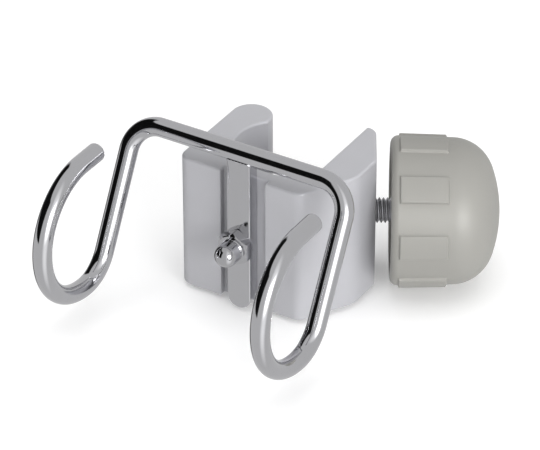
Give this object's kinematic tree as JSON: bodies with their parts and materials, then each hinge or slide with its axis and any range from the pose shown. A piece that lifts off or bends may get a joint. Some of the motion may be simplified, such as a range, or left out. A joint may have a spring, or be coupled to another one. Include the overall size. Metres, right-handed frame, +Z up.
{
  "type": "clamp-on double hook",
  "caption": "C-shaped tube clamp with a knob screw, carrying a chromed bent wire with two open forward hooks on a bolted flat bar.",
  "frame": {"origin": "on the axis of the clamped tube, at half the height of the clamp body", "axes": "+Z up along the tube; -Y forward, to the side the hooks reach to; +X along the crossbar, to the knob's side"},
  "size_m": [0.1057, 0.1248, 0.0589],
  "materials": {
    "clamp_grey": "satin light grey coating on a cast light-alloy body",
    "satin_steel": "satin plated flat bar",
    "chrome": "bright chrome plating",
    "weld": "plated weld bead",
    "zinc_steel": "zinc plated",
    "nut_chrome": "polished plating",
    "thread_steel": "plated rolled thread",
    "button_plastic": "natural acetal",
    "spring_steel": "spring wire",
    "knob_grey": "warm grey moulded plastic, fine satin texture"
  },
  "bodies": {
    "clamp": {"clamp_body": "clamp_grey", "mounting_bar": "satin_steel", "hook_wire": "chrome", "hook_weld": "weld", "countersunk_bolt": "zinc_steel", "cap_nut": "nut_chrome"},
    "button": {"pressure_button": "button_plastic"},
    "screw": {"clamp_spindle": "thread_steel", "snap_ring": "spring_steel", "knob": "knob_grey"}
  },
  "joints": [
    {"name": "screw_feed", "type": "slide", "parent": "clamp", "child": "button", "axis": [-0.866, -0.5, 0], "range_m": [-0.01001, 0.00401]},
    {"name": "screw_turn", "type": "hinge", "parent": "button", "child": "screw", "pos_m": [0, 0, 0], "axis": [-0.866, -0.5, 0], "range_deg": [-2880, 1152]}
  ],
  "couplings": [
    {"joint": "screw_feed", "follows": "screw_turn", "m_per_rad": 0.00019894}
  ]
}
